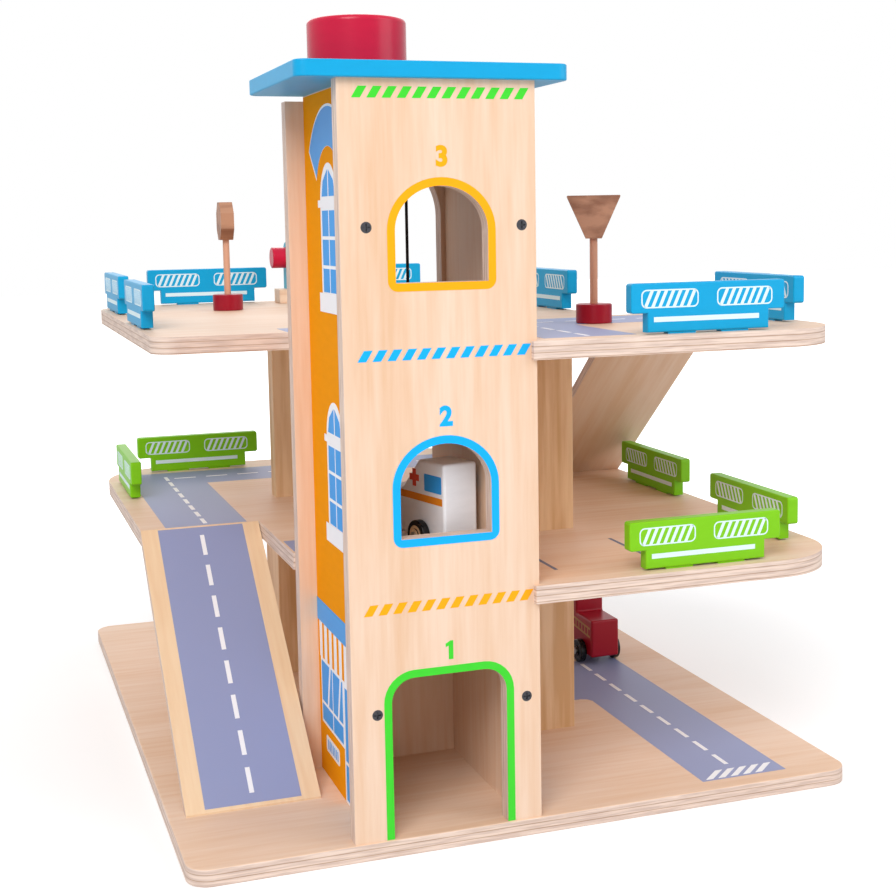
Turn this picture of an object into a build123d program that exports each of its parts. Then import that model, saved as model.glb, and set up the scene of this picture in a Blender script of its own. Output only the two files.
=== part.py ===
"""Wooden toy parking garage: a lift tower, two road decks, ramps, fences, signs and two vehicles.

Sizes are in mm. The frame has its origin under the middle of the base board, X to the right
along the front, Y to the back and Z up. The tower's front left corner is the local zero of
most positions: tower_x and tower_y turn them into the frame.
"""
from build123d import *
from math import cos, radians, sin, sqrt
import os

os.makedirs("parts", exist_ok=True)

# Base board
base_w = 370.0
base_d = 460.0
base_t = 9.0
base_corner = 12.0
edge_round = 0.8

# Tower
tower_x = -102.0                    # left face of the tower
tower_setback = 1.0                 # base front edge to tower front
tower_y = -base_d / 2 + tower_setback
tower_w = 100.0
tower_h = 375.5                     # base top to roof underside
board_t = 9.0                       # front panel and back board
shaft_d = 100.5                     # clear depth between the two boards
side_t = 6.0
side_left = 10.0                    # tower left face to the left side panel
side_gap = 73.5                     # clear width between the side panels
back_drop = 2.5                     # the back board stops short of the roof

# Floors, measured from the base top
second_top = 123.5
third_top = 248.0
deck_t = 9.5
deck_left = -74.0
deck_right = 284.0
deck_back = 448.0
deck_lip = 3.5                      # deck tongue in front of the front panel
deck_lap = 3.0
deck_corner = 14.0                  # wing corners
deck_right_corner = 42.0
deck_back_corner = 50.0             # back left

# Openings in the tower
opening_mid = 51.0
door_w = 61.0
door_h = 82.5
door_corner = 12.0
window_w = 47.5
window_h = 46.5
window_rise = 21.5
second_sill = 152.8
third_sill = 278.5
back_open_mid = 52.0
back_open_w = 70.0
back_open_side_h = 63.0
half_turn = 180.0                   # sweep of an arch top

# Ramps
ramp_t = 6.0
ramp_run = 149.5
ramp_toe = 1.0
lower_ramp_top_y = 215.0
deck_cut_x = -1.0                   # deck edge beside the tower, above the lower ramp
deck_cut_right = 213.0              # deck edge beside the upper ramp
upper_ramp_top_y = 154.0
ramp_edge_gap = 0.5

# Posts
post_w = 24.0
right_post_x = 146.7
right_post_y = 118.1
left_post_x = 25.5
left_post_y = 288.0
left_lower_d = 38.0
left_upper_d = 14.0

# Roof and knob
roof_left = -20.0
roof_right = 117.5
roof_front = -4.0
roof_back = 109.5
roof_t = 8.0
roof_corner = 6.0
knob_r = 25.0
knob_h = 25.0
knob_x = 25.0
knob_round = 2.5
spindle_r = 4.0
spindle_play = 0.06
turn_gap = 0.3
spool_core_r = 5.7
spool_play = 0.3                    # cord to core
spool_flange_r = 8.6
spool_flange_t = 2.0
spool_h = 14.0
cord_r = 0.8
cord_turns = 6
cord_pitch = 1.55
cord_gap = 0.1
knot_r = 1.7
knot_h = 2.6
knob_socket = 16.0

# Lift
lift_wall_t = 6.0
lift_w = 66.0
lift_d = 94.5
lift_floor_top = 138.0
lift_inside_h = 62.0
lift_x = 18.5
lift_y = 12.0
eye_ring_r = 3.5
eye_wire_r = 1.0
eye_shank_l = 5.0
eye_gap = 0.3
board_soft = 0.6

# Screws
screw_head_r = 2.75
screw_shank_r = 1.5
screw_l = 26.0
screw_clear = 0.03
screw_low = 65.5
screw_high = 305.5
cross_w = 0.8
cross_l = 3.6
cross_depth = 0.9

# Fences
fence_l = 90.0
fence_foot_l = 71.0
fence_t = 7.0
fence_h = 26.5
fence_bar_h = 15.5
fence_round = 1.6
fence_soft = 0.8
notch_h = 1.0
tab_l = 16.0
tab_t = 4.5
tab_depth = 5.0
tab_pitch = 31.0
tab_play = 0.06

# Signs and signal
sign_base_r = 10.4
sign_base_h = 11.2
sign_stick_r = 2.25
sign_plate_t = 9.0
warn_x = 175.2
warn_y = 97.0
warn_turn = -22.0
warn_top_w = 31.0
warn_foot_w = 9.0
warn_h = 24.5
warn_corner = 0.6
warn_z = 48.5
stop_x = 8.3
stop_inset = 100.0                  # from the deck back edge
stop_turn = -93.0
round_r = 14.1
round_z = 62.0
socket_depth = 6.0
tenon_r = 1.6
tenon_l = 7.0
signal_x = 68.0
signal_inset = 31.0                 # from the deck back edge
signal_block = 20.0
signal_block_h = 10.5
signal_plate_w = 18.0
signal_plate_t = 4.8
signal_plate_h = 39.0
signal_slot = 4.0
lamp_r = 7.8
lamp_l = 11.0
lamp_z = 34.0
lamp_peg = 3.0

# Vehicles
car_w = 20.5
car_clear = 6.0
wheel_r = 8.0
wheel_w = 5.0
wheel_gap = 0.4
hub_r = 3.6
hub_step = 0.6
axle_r = 1.25
axle_play = 0.08
axle_head_r = 2.2
axle_head_l = 0.9
head_gap = 0.1
wheel_soft = 0.8
rolling_gap = 0.2                   # wheels above the floor they roll on
ambulance_l = 66.0
ambulance_h = 47.0
ambulance_roof_l = 24.0
ambulance_bonnet_h = 29.5
ambulance_screen_l = 17.5
ambulance_bonnet_fall = 2.0
ambulance_axles = (20.5, 53.0)
ambulance_x = 55.5
ambulance_y = 17.8
ambulance_turn = 14.7
truck_l = 74.0
truck_h = 43.0
truck_bed_h = 32.0
truck_bed_l = 26.0
truck_cab_l = 13.0
truck_screen_drop = 15.0
truck_axles = (15.0, 57.0)
truck_x = 229.0
truck_y = 222.0
car_round = 1.5

# Derived levels and planes in the frame
z0 = base_t
back_y = tower_y + board_t + shaft_d
deck_start_y = back_y + board_t
side_right = side_left + side_t + side_gap
roof_z = z0 + tower_h
cord_x = tower_x + lift_x + lift_w / 2
cord_y = tower_y + lift_y + lift_d / 2
wound_r = spool_core_r + spool_play + cord_r
knob_y = cord_y - wound_r


def save(part, name):
    part.label = name
    export_step(part, "parts/" + name + ".step")


def at(x, y, z=0.0):
    """A position measured from the tower's front left corner on the base top."""
    return Location((tower_x + x, tower_y + y, z0 + z))


# ---- Fence places: x, y of the middle, level, turned along Y or not ----------------------
blue_fences = {
    "blue_fence_left_front": (deck_left + 5.5, 219.0, third_top, 90),
    "blue_fence_left_rear": (deck_left + 8.5, deck_back - 77.0, third_top, 90),
    "blue_fence_rear_left": (9.5, deck_back - 8.0, third_top, 0),
    "blue_fence_rear_right": (133.6, deck_back - 8.0, third_top, 0),
    "blue_fence_ramp_side": (deck_cut_right - 4.0, 250.0, third_top, 90),
    "blue_fence_front": (198.5, 6.4, third_top, 0),
    "blue_fence_right": (deck_right - 11.5, 80.0, third_top, 90),
}
green_fences = {
    "green_fence_left": (deck_left + 10.0, deck_back - 90.5, second_top, 90),
    "green_fence_rear_left": (-4.5, deck_back - 20.5, second_top, 0),
    "green_fence_rear_right": (deck_right - 58.0, deck_back - 12.0, second_top, 0),
    "green_fence_right_rear": (deck_right - 10.0, 216.0, second_top, 90),
    "green_fence_right_front": (deck_right - 17.0, 74.8, second_top, 90),
    "green_fence_front": (197.3, 6.4, second_top, 0),
}


def fence_slots(places):
    """Cuts the blind slots for the fence tabs in the deck being built."""
    for x, y, level, turn in places.values():
        spot = at(x, y, level) * Rotation(0, 0, turn)
        with Locations(spot * Pos(-tab_pitch / 2, 0, 0), spot * Pos(tab_pitch / 2, 0, 0)):
            Box(tab_l + tab_play, tab_t + tab_play, 2 * (tab_depth + tab_play), mode=Mode.SUBTRACT)


# ---- Base ---------------------------------------------------------------------------------
with BuildPart() as base_board:
    with BuildSketch():
        RectangleRounded(base_w, base_d, base_corner)
    extrude(amount=base_t)
    fillet(base_board.edges().group_by(Axis.Z)[-1], edge_round)
    fillet(base_board.edges().group_by(Axis.Z)[0], edge_round)
save(base_board.part, "base_board")


# ---- Tower boards -------------------------------------------------------------------------
def arch(mid, sill, width, side_h, rise):
    """An arched opening in the board sketch: straight sill and sides, elliptic top."""
    with BuildLine() as outline:
        Polyline((mid - width / 2, sill + side_h), (mid - width / 2, sill),
                 (mid + width / 2, sill), (mid + width / 2, sill + side_h))
        EllipticalCenterArc((mid, sill + side_h), width / 2, rise, start_angle=0, arc_size=half_turn)
    make_face(outline.edges(), mode=Mode.SUBTRACT)


side_mids = (side_left + side_t / 2, side_right + side_t / 2)
screw_spots = [(tower_x + x, z0 + z) for x in side_mids for z in (screw_low, screw_high)]
front_plane = Plane((0, tower_y, 0), x_dir=(1, 0, 0), z_dir=(0, -1, 0))
back_plane = Plane((0, back_y, 0), x_dir=(1, 0, 0), z_dir=(0, -1, 0))

with BuildPart() as front_panel:
    with BuildSketch(front_plane):
        with Locations((tower_x, z0)):
            Rectangle(tower_w, tower_h, align=(Align.MIN, Align.MIN))
        for sill in (second_sill, third_sill):
            arch(tower_x + opening_mid, z0 + sill, window_w, window_h - window_rise, window_rise)
        with Locations((tower_x + opening_mid, z0)):
            Rectangle(door_w, door_h - door_corner, align=(Align.CENTER, Align.MIN),
                      mode=Mode.SUBTRACT)
        with Locations((tower_x + opening_mid, z0 + door_h)):
            RectangleRounded(door_w, 3 * door_corner, door_corner, align=(Align.CENTER, Align.MAX),
                             mode=Mode.SUBTRACT)
    extrude(amount=-board_t)
    with Locations(*[Location((x, tower_y, z), (90, 0, 0)) for x, z in screw_spots]):
        CounterSinkHole(screw_shank_r + screw_clear, screw_head_r + screw_clear, board_t + 1, 90)
save(front_panel.part, "front_panel")

with BuildPart() as back_board:
    with BuildSketch(back_plane):
        with Locations((tower_x, z0)):
            Rectangle(tower_w, tower_h - back_drop, align=(Align.MIN, Align.MIN))
        for sill in (second_top, third_top):
            arch(tower_x + back_open_mid, z0 + sill, back_open_w, back_open_side_h,
                 back_open_w / 2)
    extrude(amount=-board_t)
    with Locations(*[Location((x, deck_start_y, z), (-90, 0, 0)) for x, z in screw_spots]):
        CounterSinkHole(screw_shank_r + screw_clear, screw_head_r + screw_clear, board_t + 1, 90)
save(back_board.part, "back_board")


def side_panel(left):
    """A side wall of the lift shaft with the screw holes in its two upright edges."""
    mid = tower_x + left + side_t / 2
    with BuildPart() as panel:
        with Locations((mid, tower_y + board_t + shaft_d / 2, z0)):
            Box(side_t, shaft_d, tower_h, align=(Align.CENTER, Align.CENTER, Align.MIN))
        for z in (screw_low, screw_high):
            with Locations(Location((mid, tower_y + board_t, z0 + z), (90, 0, 0)),
                           Location((mid, back_y, z0 + z), (-90, 0, 0))):
                Hole(screw_shank_r + screw_clear, screw_l - board_t + 1)
    return panel.part


save(side_panel(side_left), "left_side_panel")
save(side_panel(side_right), "right_side_panel")


def wood_screws(y, turn):
    """The four countersunk cross-head screws of one tower board."""
    top = (Align.CENTER, Align.CENTER, Align.MAX)
    with BuildPart() as screws:
        with Locations(*[Location((x, y, z), (turn, 0, 0)) for x, z in screw_spots]):
            Cylinder(screw_shank_r, screw_l, align=top)
            Cone(screw_shank_r, screw_head_r, screw_head_r - screw_shank_r, align=top)
            Box(cross_l, cross_w, cross_depth, align=top, mode=Mode.SUBTRACT)
            Box(cross_w, cross_l, cross_depth, align=top, mode=Mode.SUBTRACT)
    return screws.part


save(wood_screws(tower_y, 90), "front_screws")
save(wood_screws(deck_start_y, -90), "back_screws")


# ---- Decks --------------------------------------------------------------------------------
def deck(corners, rounded, level, fences):
    """A road deck from its corner points, some rounded by their radius, with the fence slots."""
    with BuildPart() as board:
        with BuildSketch(Plane.XY.offset(z0 + level - deck_t)) as flat:
            with BuildLine():
                Polyline(*[(tower_x + x, tower_y + y) for x, y in corners], close=True)
            make_face()
            for (x, y), radius in rounded:
                fillet(flat.vertices().sort_by_distance((tower_x + x, tower_y + y, 0))[0], radius)
        extrude(amount=deck_t)
        fence_slots(fences)
    return board.part


tower_back = 2 * board_t + shaft_d
socket_edge = [(tower_w, tower_back), (tower_w, tower_back - board_t),
               (side_right + side_t, tower_back - board_t), (side_right + side_t, board_t),
               (tower_w, board_t), (tower_w, 0), (tower_w - deck_lap, 0),
               (tower_w - deck_lap, -deck_lip)]
front_right = (deck_right, -deck_lip)
back_right = (deck_right, deck_back)
back_left = (deck_left, deck_back)
wing_front = (deck_left, tower_back)
wing_right = (deck_cut_right, deck_back)
outer_corners = [(front_right, deck_right_corner), (back_left, deck_back_corner)]

save(deck([front_right, back_right, back_left, (deck_left, lower_ramp_top_y),
           (deck_cut_x, lower_ramp_top_y), (deck_cut_x, tower_back)] + socket_edge,
          outer_corners + [(back_right, deck_right_corner)], second_top, green_fences),
     "second_floor_deck")
save(deck([front_right, (deck_right, upper_ramp_top_y), (deck_cut_right, upper_ramp_top_y),
           wing_right, back_left, wing_front] + socket_edge,
          outer_corners + [(wing_right, deck_corner), (wing_front, deck_corner)],
          third_top, blue_fences), "third_floor_deck")


# ---- Ramps --------------------------------------------------------------------------------
def ramp(left, width, top_y, toward, low, high):
    """A plank from one floor to the next, its foot cut flat and its top end upright."""
    rise = high - low - ramp_toe
    upright_t = ramp_t * sqrt(ramp_run ** 2 + rise ** 2) / ramp_run
    foot_y = top_y + toward * ramp_run
    heel_y = top_y + toward * (high - low - upright_t) * ramp_run / rise
    side = Plane((tower_x + left, tower_y, z0), x_dir=(0, 1, 0), z_dir=(1, 0, 0))
    with BuildPart() as plank:
        with BuildSketch(side):
            with BuildLine():
                Polyline((foot_y, low), (foot_y, low + ramp_toe), (top_y, high),
                         (top_y, high - upright_t), (heel_y, low), close=True)
            make_face()
        extrude(amount=width)
    return plank.part


lower_ramp_w = deck_cut_x - ramp_edge_gap - deck_left
upper_ramp_left = deck_cut_right + ramp_edge_gap
save(ramp(deck_left, lower_ramp_w, lower_ramp_top_y, -1, 0, second_top), "lower_ramp")
save(ramp(upper_ramp_left, deck_right - upper_ramp_left, upper_ramp_top_y, 1, second_top,
          third_top), "upper_ramp")


# ---- Posts --------------------------------------------------------------------------------
def post(x, y, depth, low, high):
    """A square-cut block between two floors, standing on the lower one."""
    with BuildPart() as block:
        with Locations(at(x, y, low)):
            Box(post_w, depth, high - deck_t - low, align=(Align.MIN, Align.MIN, Align.MIN))
        fillet(block.edges().filter_by(Axis.Z), edge_round)
    return block.part


save(post(right_post_x, right_post_y, post_w, 0, second_top), "right_lower_post")
save(post(right_post_x, right_post_y, post_w, second_top, third_top), "right_upper_post")
save(post(left_post_x, left_post_y, left_lower_d, 0, second_top), "left_lower_post")
save(post(left_post_x, left_post_y, left_upper_d, second_top, third_top), "left_upper_post")


# ---- Fences -------------------------------------------------------------------------------
def fence(x, y, level, turn):
    """A railing block: a long bar on a shorter foot, two tabs in the deck slots."""
    bar_z = fence_h - fence_bar_h
    with BuildPart() as rail:
        with BuildSketch(Plane.XZ.offset(-fence_t / 2)) as face:
            with Locations((0, bar_z)):
                Rectangle(fence_l, fence_bar_h, align=(Align.CENTER, Align.MIN))
            with Locations((0, notch_h)):
                Rectangle(fence_foot_l, bar_z - notch_h, align=(Align.CENTER, Align.MIN))
            fillet(face.vertices().filter_by_position(Axis.Y, bar_z - 0.1, fence_h + 0.1)
                   .filter_by(lambda v: abs(v.X) > fence_foot_l / 2 + 0.1), fence_round)
        extrude(amount=fence_t)
        fillet(rail.edges().group_by(Axis.Y)[0] + rail.edges().group_by(Axis.Y)[-1], fence_soft)
        with Locations((-tab_pitch / 2, 0, 0), (tab_pitch / 2, 0, 0)):
            Box(tab_l, tab_t, 2 * tab_depth)
            Box(tab_l, fence_t - 2 * fence_soft, notch_h + fence_soft,
                align=(Align.CENTER, Align.CENTER, Align.MIN))
    return at(x, y, level) * Rotation(0, 0, turn) * rail.part


for name, place in {**blue_fences, **green_fences}.items():
    save(fence(*place), name)


# ---- Roof, knob and winding gear ----------------------------------------------------------
roof_mid_x = tower_x + (roof_left + roof_right) / 2
roof_mid_y = tower_y + (roof_front + roof_back) / 2
knob_at = (tower_x + knob_x, knob_y)
eye_ring_z = roof_z - eye_wire_r - eye_ring_r - eye_gap
wire_z = eye_ring_z - eye_ring_r
bend_r = eye_wire_r + cord_r + cord_gap
guide_x = cord_x - bend_r

with BuildPart() as roof_board:
    with BuildSketch(Plane.XY.offset(roof_z)):
        with Locations((roof_mid_x, roof_mid_y)):
            RectangleRounded(roof_right - roof_left, roof_back - roof_front, roof_corner)
    extrude(amount=roof_t)
    fillet(roof_board.edges().group_by(Axis.Z)[-1], edge_round)
    fillet(roof_board.edges().group_by(Axis.Z)[0], edge_round)
    with Locations((*knob_at, roof_z + roof_t)):
        Hole(spindle_r + spindle_play)
    with Locations(Location((guide_x, cord_y, roof_z), (180, 0, 0))):
        Hole(eye_wire_r + screw_clear, eye_shank_l + screw_clear)
save(roof_board.part, "roof_board")

knob_z = roof_z + roof_t + turn_gap
spool_z = roof_z - turn_gap - spool_h

with BuildPart() as roof_knob:
    with BuildSketch(Plane.XY.offset(knob_z)):
        with Locations(knob_at):
            Circle(knob_r)
    extrude(amount=knob_h)
    fillet(roof_knob.edges().group_by(Axis.Z)[-1], knob_round)
    fillet(roof_knob.edges().group_by(Axis.Z)[0], edge_round)
    with Locations(Location((*knob_at, knob_z), (180, 0, 0))):
        Hole(spindle_r + screw_clear, knob_socket + screw_clear)
save(roof_knob.part, "roof_knob")

with BuildPart() as knob_spindle:
    with BuildSketch(Plane.XY.offset(spool_z)):
        with Locations(knob_at):
            Circle(spindle_r)
    extrude(amount=knob_z + knob_socket - spool_z)
save(knob_spindle.part, "knob_spindle")

with BuildPart() as winding_spool:
    with BuildSketch(Plane((*knob_at, spool_z), x_dir=(1, 0, 0), z_dir=(0, -1, 0))):
        with BuildLine():
            Polyline((spindle_r + screw_clear, 0), (spool_flange_r, 0),
                     (spool_flange_r, spool_flange_t), (spool_core_r, spool_flange_t),
                     (spool_core_r, spool_h - spool_flange_t),
                     (spool_flange_r, spool_h - spool_flange_t), (spool_flange_r, spool_h),
                     (spindle_r + screw_clear, spool_h), close=True)
        make_face()
    revolve(axis=Axis((*knob_at, 0), (0, 0, 1)))
save(winding_spool.part, "winding_spool")

run_z = wire_z + bend_r
wound_from = -(cord_turns // 2)
with BuildPart() as winding_cord:
    with Locations(*[(*knob_at, run_z + cord_pitch * (wound_from + i)) for i in range(cord_turns)]):
        Torus(wound_r, cord_r)
    with BuildLine(Plane.XZ.offset(-cord_y)) as route:
        run = Line((knob_at[0], run_z), (guide_x, run_z))
        JernArc(run @ 1, (1, 0), bend_r, -90)
    with BuildSketch(Plane(origin=route.line @ 0, z_dir=route.line % 0)):
        Circle(cord_r)
    sweep(path=route.line)
save(winding_cord.part, "winding_cord")


def screw_eye(ring_turn):
    """A screw eye with its ring over the origin, where the shank enters the board."""
    with BuildPart() as eye:
        with Locations(Location((0, 0, eye_ring_r + eye_wire_r + eye_gap), ring_turn)):
            Torus(eye_ring_r, eye_wire_r)
        with Locations((0, 0, eye_gap + eye_wire_r)):
            Cylinder(eye_wire_r, eye_shank_l + eye_gap + eye_wire_r,
                     align=(Align.CENTER, Align.CENTER, Align.MAX))
    return eye.part


save(Location((guide_x, cord_y, roof_z), (180, 0, 0)) * screw_eye((0, 90, 0)), "guide_eyelet")


# ---- Lift cabin ---------------------------------------------------------------------------
lift_left = tower_x + lift_x
lift_front = tower_y + lift_y
floor_z = z0 + lift_floor_top
cabin_top_z = floor_z + lift_inside_h + lift_wall_t


def lift_board(x, z, width, height):
    """A board of the cabin, as deep as the cabin."""
    with BuildPart() as board:
        with Locations((x, lift_front, z)):
            Box(width, lift_d, height, align=(Align.MIN, Align.MIN, Align.MIN))
        fillet(board.edges().filter_by(Axis.X), board_soft)
        if height < width:
            with Locations((cord_x, cord_y, cabin_top_z)):
                Hole(eye_wire_r + screw_clear, eye_shank_l + screw_clear)
    return board.part


save(lift_board(lift_left, floor_z - lift_wall_t, lift_w, lift_wall_t), "lift_floor")
save(lift_board(lift_left, floor_z, lift_wall_t, lift_inside_h), "lift_left_wall")
save(lift_board(lift_left + lift_w - lift_wall_t, floor_z, lift_wall_t, lift_inside_h),
     "lift_right_wall")
save(lift_board(lift_left, cabin_top_z - lift_wall_t, lift_w, lift_wall_t), "lift_top")
save(Location((cord_x, cord_y, cabin_top_z)) * screw_eye((90, 0, 0)), "lift_eyelet")

loop_z = cabin_top_z + eye_gap + eye_wire_r + 2 * eye_ring_r
knot_z = loop_z + bend_r
with BuildPart() as lift_knot:
    with Locations(Location((cord_x, cord_y, loop_z), (0, 90, 0))):
        Torus(bend_r, cord_r)
    with Locations((cord_x, cord_y, knot_z)):
        Cylinder(knot_r, knot_h, align=(Align.CENTER, Align.CENTER, Align.MIN))
    fillet(lift_knot.edges().group_by(Axis.Z)[-1], cord_r / 2)
save(lift_knot.part, "lift_knot")

with BuildPart() as lift_cord:
    with BuildSketch(Plane.XY.offset(knot_z + knot_h)):
        with Locations((cord_x, cord_y)):
            Circle(cord_r)
    extrude(amount=wire_z - knot_z - knot_h)
save(lift_cord.part, "lift_cord")


# ---- Vehicles -----------------------------------------------------------------------------
def car_body(profile, axles):
    """A car block from its side profile (length, height), holes for the two axles."""
    with BuildPart() as body:
        with BuildSketch(Plane((0, 0, rolling_gap), x_dir=(0, 1, 0), z_dir=(1, 0, 0))):
            with BuildLine():
                Polyline(*profile, close=True)
            make_face()
        extrude(amount=car_w)
        fillet(body.edges(), car_round)
        with Locations(*[Location((0, y, rolling_gap + wheel_r), (0, -90, 0)) for y in axles]):
            Hole(axle_r + axle_play)
    return body.part


def wheel_pair(y):
    """Two wheels of one axle, each with a raised hub on its outer face."""
    inner = wheel_gap
    with BuildPart() as wheels:
        with Locations(Location((-inner, y, rolling_gap + wheel_r), (0, -90, 0)),
                       Location((car_w + inner, y, rolling_gap + wheel_r), (0, 90, 0))):
            Cylinder(wheel_r, wheel_w - hub_step, align=(Align.CENTER, Align.CENTER, Align.MIN))
            Cylinder(hub_r, wheel_w, align=(Align.CENTER, Align.CENTER, Align.MIN))
            Cylinder(axle_r + screw_clear, wheel_w, align=(Align.CENTER, Align.CENTER, Align.MIN),
                     mode=Mode.SUBTRACT)
        rims = [e for e in wheels.edges().filter_by(GeomType.CIRCLE) if e.radius > wheel_r - 0.01]
        fillet(rims, wheel_soft)
    return wheels.part


def axle(y):
    """A metal pin through the body with a flat head outside each wheel."""
    half = car_w / 2 + wheel_gap + wheel_w + head_gap
    with BuildPart() as pin:
        with Locations(Location((car_w / 2, y, rolling_gap + wheel_r), (0, 90, 0))):
            Cylinder(axle_r, 2 * half)
            for side in (-1, 1):
                with Locations((0, 0, side * (half + axle_head_l / 2))):
                    Cylinder(axle_head_r, axle_head_l)
    return pin.part


def vehicle(name, place, profile, axles):
    """Saves a body, two wheel pairs and two axles at a place."""
    save(place * car_body(profile, axles), name + "_body")
    for end, y in zip(("rear", "front"), axles):
        save(place * wheel_pair(y), name + "_" + end + "_wheels")
        save(place * axle(y), name + "_" + end + "_axle")


ambulance_at = at(ambulance_x, ambulance_y, lift_floor_top) * Rotation(0, 0, ambulance_turn)
vehicle("ambulance", ambulance_at,
        [(0, car_clear), (0, ambulance_h), (ambulance_roof_l, ambulance_h),
         (ambulance_roof_l + ambulance_screen_l, ambulance_bonnet_h),
         (ambulance_l, ambulance_bonnet_h - ambulance_bonnet_fall), (ambulance_l, car_clear)],
        ambulance_axles)
vehicle("truck", at(truck_x, truck_y),
        [(0, car_clear), (0, truck_bed_h), (truck_bed_l, truck_bed_h), (truck_bed_l, truck_h),
         (truck_l - truck_cab_l, truck_h), (truck_l, truck_h - truck_screen_drop),
         (truck_l, car_clear)],
        truck_axles)


# ---- Signs and signal ---------------------------------------------------------------------
def sign(name, x, y, turn, plate, plate_z):
    """Saves a round foot, a stick and a plate turned about it; the stick plugs into both."""
    foot_at = at(x, y, third_top)
    with BuildPart() as foot:
        Cylinder(sign_base_r, sign_base_h, align=(Align.CENTER, Align.CENTER, Align.MIN))
        fillet(foot.edges(), edge_round)
        with Locations((0, 0, sign_base_h)):
            Hole(sign_stick_r + screw_clear, socket_depth + screw_clear)
    save(foot_at * foot.part, name + "_base")
    with BuildPart() as stick:
        with Locations((0, 0, sign_base_h - socket_depth)):
            Cylinder(sign_stick_r, plate_z - sign_base_h + socket_depth,
                     align=(Align.CENTER, Align.CENTER, Align.MIN))
        with Locations((0, 0, plate_z)):
            Cylinder(tenon_r, tenon_l, align=(Align.CENTER, Align.CENTER, Align.MIN))
    save(foot_at * stick.part, name + "_post")
    save(foot_at * Rotation(0, 0, turn) * plate, name + "_board")


def plate_hole(z):
    """Drills the tenon hole up into the lower edge of the plate being built."""
    with Locations(Location((0, 0, z), (180, 0, 0))):
        Hole(tenon_r + screw_clear, tenon_l + screw_clear)


with BuildPart() as warning_plate:
    with BuildSketch(Plane.XZ.offset(-sign_plate_t / 2)) as face:
        with BuildLine():
            Polyline((-warn_foot_w / 2, warn_z), (warn_foot_w / 2, warn_z),
                     (warn_top_w / 2, warn_z + warn_h), (-warn_top_w / 2, warn_z + warn_h),
                     close=True)
        make_face()
        fillet(face.vertices().group_by(Axis.Y)[-1], warn_corner)
    extrude(amount=sign_plate_t)
    plate_hole(warn_z)
sign("warning_sign", warn_x, warn_y, warn_turn, warning_plate.part, warn_z)

flat_w = round_r * sin(radians(22.5))
round_foot = round_z - round_r * cos(radians(22.5))
with BuildPart() as round_plate:
    with BuildSketch(Plane.XZ.offset(-sign_plate_t / 2)):
        with Locations((0, round_z)):
            RegularPolygon(round_r, 8, rotation=22.5)
    extrude(amount=sign_plate_t)
    plate_hole(round_foot)
sign("stop_sign", stop_x, deck_back - stop_inset, stop_turn, round_plate.part, round_foot)

signal_at = at(signal_x, deck_back - signal_inset, third_top)
with BuildPart() as signal_base:
    Box(signal_block, signal_block, signal_block_h, align=(Align.CENTER, Align.CENTER, Align.MIN))
    fillet(signal_base.edges(), edge_round)
    with Locations((0, 0, signal_block_h)):
        Box(signal_plate_t + tab_play, signal_plate_w + tab_play, 2 * (signal_slot + tab_play),
            mode=Mode.SUBTRACT)
save(signal_at * signal_base.part, "signal_base")

plate_x = -signal_plate_t / 2
with BuildPart() as signal_plate:
    with BuildSketch(Plane((plate_x, 0, signal_block_h - signal_slot),
                           x_dir=(0, 1, 0), z_dir=(1, 0, 0))):
        Rectangle(signal_plate_w, signal_plate_h - signal_plate_w / 2,
                  align=(Align.CENTER, Align.MIN))
        with Locations((0, signal_plate_h - signal_plate_w / 2)):
            Circle(signal_plate_w / 2)
    extrude(amount=signal_plate_t)
    with Locations(Location((plate_x, 0, lamp_z), (0, -90, 0))):
        Hole(tenon_r + screw_clear, lamp_peg + screw_clear)
save(signal_at * signal_plate.part, "signal_plate")

with BuildPart() as signal_lamp:
    with Locations(Location((plate_x, 0, lamp_z), (0, -90, 0))):
        Cylinder(lamp_r, lamp_l, align=(Align.CENTER, Align.CENTER, Align.MIN))
        Cylinder(tenon_r, lamp_peg, align=(Align.CENTER, Align.CENTER, Align.MAX))
    fillet(signal_lamp.edges().group_by(Axis.X)[0], edge_round)
save(signal_at * signal_lamp.part, "signal_lamp")
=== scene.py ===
"""Wooden toy parking garage with a lift: paint, prints, wood and metal over the CAD frame.

Sizes in the prints are given in millimetres from the tower's front left corner on the base
board's top, x to the right, y to the back, z up. place() turns them into the frame.
"""
from math import atan2, cos, pi, radians, sin, sqrt

import bpy
from mathutils import Matrix, Vector


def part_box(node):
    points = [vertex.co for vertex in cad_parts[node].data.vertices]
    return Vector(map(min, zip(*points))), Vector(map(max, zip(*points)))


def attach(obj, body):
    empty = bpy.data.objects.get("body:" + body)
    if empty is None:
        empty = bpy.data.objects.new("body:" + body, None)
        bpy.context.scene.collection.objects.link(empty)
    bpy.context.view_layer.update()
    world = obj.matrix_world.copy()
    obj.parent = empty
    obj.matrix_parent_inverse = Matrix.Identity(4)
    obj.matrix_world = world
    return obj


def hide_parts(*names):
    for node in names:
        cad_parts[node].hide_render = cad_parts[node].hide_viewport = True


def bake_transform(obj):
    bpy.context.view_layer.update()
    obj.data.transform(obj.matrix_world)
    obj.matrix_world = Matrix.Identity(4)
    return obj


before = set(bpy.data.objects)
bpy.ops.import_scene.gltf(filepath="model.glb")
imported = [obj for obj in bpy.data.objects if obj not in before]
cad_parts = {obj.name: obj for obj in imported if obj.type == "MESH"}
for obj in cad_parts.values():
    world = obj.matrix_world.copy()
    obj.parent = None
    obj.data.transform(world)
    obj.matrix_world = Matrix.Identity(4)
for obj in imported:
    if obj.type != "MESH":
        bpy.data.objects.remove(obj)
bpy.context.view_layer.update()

bl_info = {
    "name": "Toy parking garage",
    "version": (1, 0, 0),
    "blender": (4, 5, 0),
    "location": "View3D > Sidebar > Garage",
    "description": "Finishes a wooden toy parking garage: wood, paint and screen prints",
    "category": "Object",
}

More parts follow.
